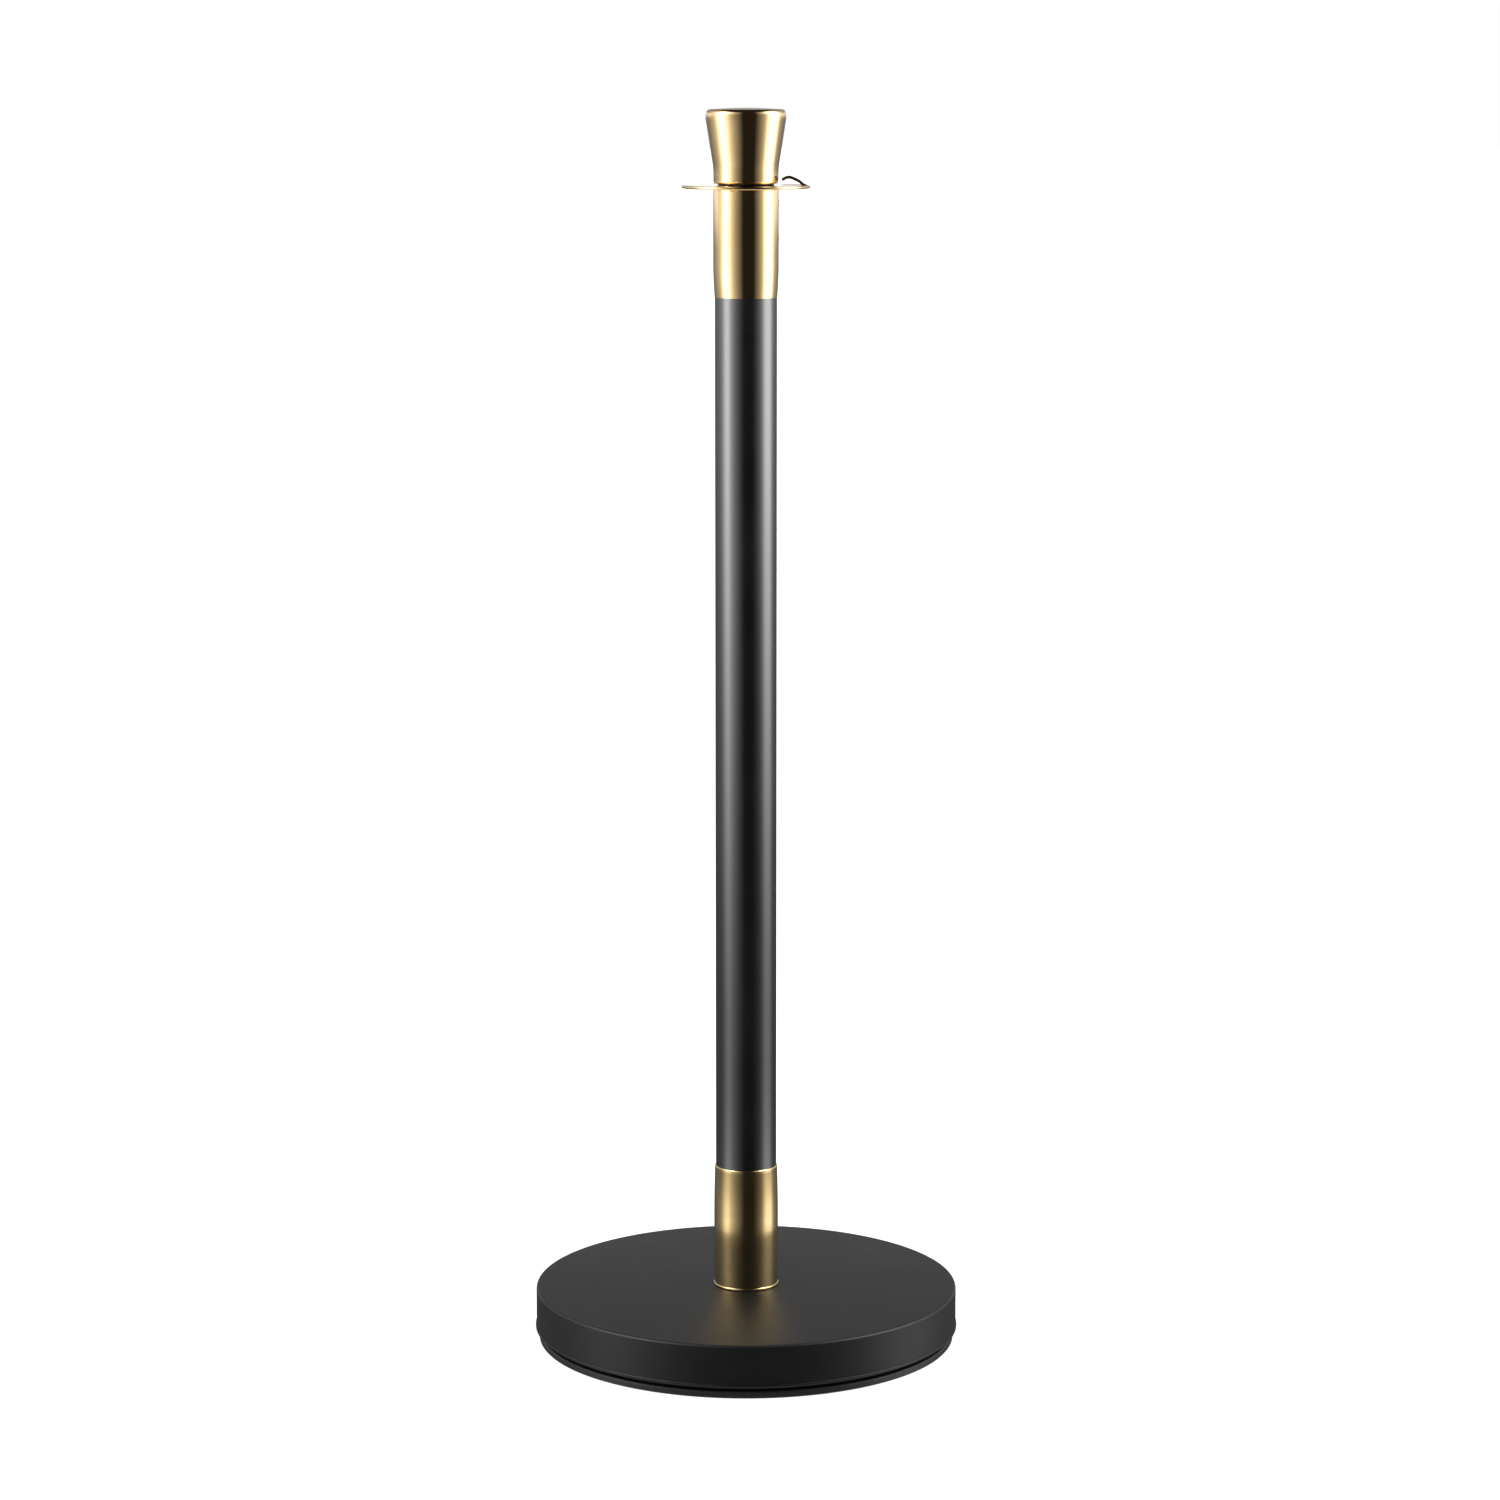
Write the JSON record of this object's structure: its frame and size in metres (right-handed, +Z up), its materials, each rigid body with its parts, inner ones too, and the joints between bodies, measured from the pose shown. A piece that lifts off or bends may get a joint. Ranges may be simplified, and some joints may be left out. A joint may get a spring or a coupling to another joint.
{
  "type": "rope barrier stanchion",
  "caption": "Free-standing post with a round weighted base, black tube, gold collars and a flared crown that screws down over a ring plate for barrier ropes.",
  "frame": {"origin": "centre of the underside of the foot ring, on the axis of the post", "axes": "+Z up along the post, +X towards the raised rope catch on the ring plate"},
  "size_m": [0.3566, 0.3566, 1.03],
  "materials": {
    "black_powder_coat": "fine satin powder coat",
    "black_tube_paint": "smooth satin paint",
    "polished_gold": "polished gold plate",
    "satin_gold": "gold plate with a fine turned brushing",
    "black_rubber": "moulded, matt",
    "black_plastic": "moulded nylon",
    "zinc_steel": "turned and zinc plated",
    "cast_iron": "sand cast, primed"
  },
  "bodies": {
    "stand": {"floor_ring": "black_rubber", "base_weight": "cast_iron", "base_cover": "black_powder_coat", "bolt_cap": "black_plastic", "base_bolt": "zinc_steel", "base_lock_washer": "zinc_steel", "base_washer": "zinc_steel", "seat_washer": "black_plastic", "foot_plug": "zinc_steel", "foot_plug_screws": "zinc_steel", "post_tube": "black_tube_paint", "lower_collar": "satin_gold", "upper_sleeve": "polished_gold", "sleeve_set_screws": "polished_gold", "head_plug": "zinc_steel", "crown_stud": "zinc_steel", "stud_lock_washer": "zinc_steel", "stud_lock_nut": "zinc_steel"},
    "ring_plate": {"ring_plate": "polished_gold", "plate_bush": "black_plastic"},
    "crown_washer": {"crown_washer": "black_plastic"},
    "crown": {"crown_shell": "polished_gold", "crown_insert": "zinc_steel"}
  },
  "joints": [
    {"name": "plate_swivel", "type": "hinge", "parent": "stand", "child": "ring_plate", "pos_m": [0, 0, 0.9663], "axis": [0, 0, 1], "continuous": true},
    {"name": "crown_lift", "type": "slide", "parent": "stand", "child": "crown_washer", "axis": [0, 0, 1], "range_m": [0, 0.0141]},
    {"name": "crown_turn", "type": "hinge", "parent": "crown_washer", "child": "crown", "pos_m": [0, 0, 0.98], "axis": [0, 0, 1], "range_deg": [0, 2880]}
  ],
  "couplings": [
    {"joint": "crown_lift", "follows": "crown_turn", "m_per_rad": 0.00027852}
  ]
}
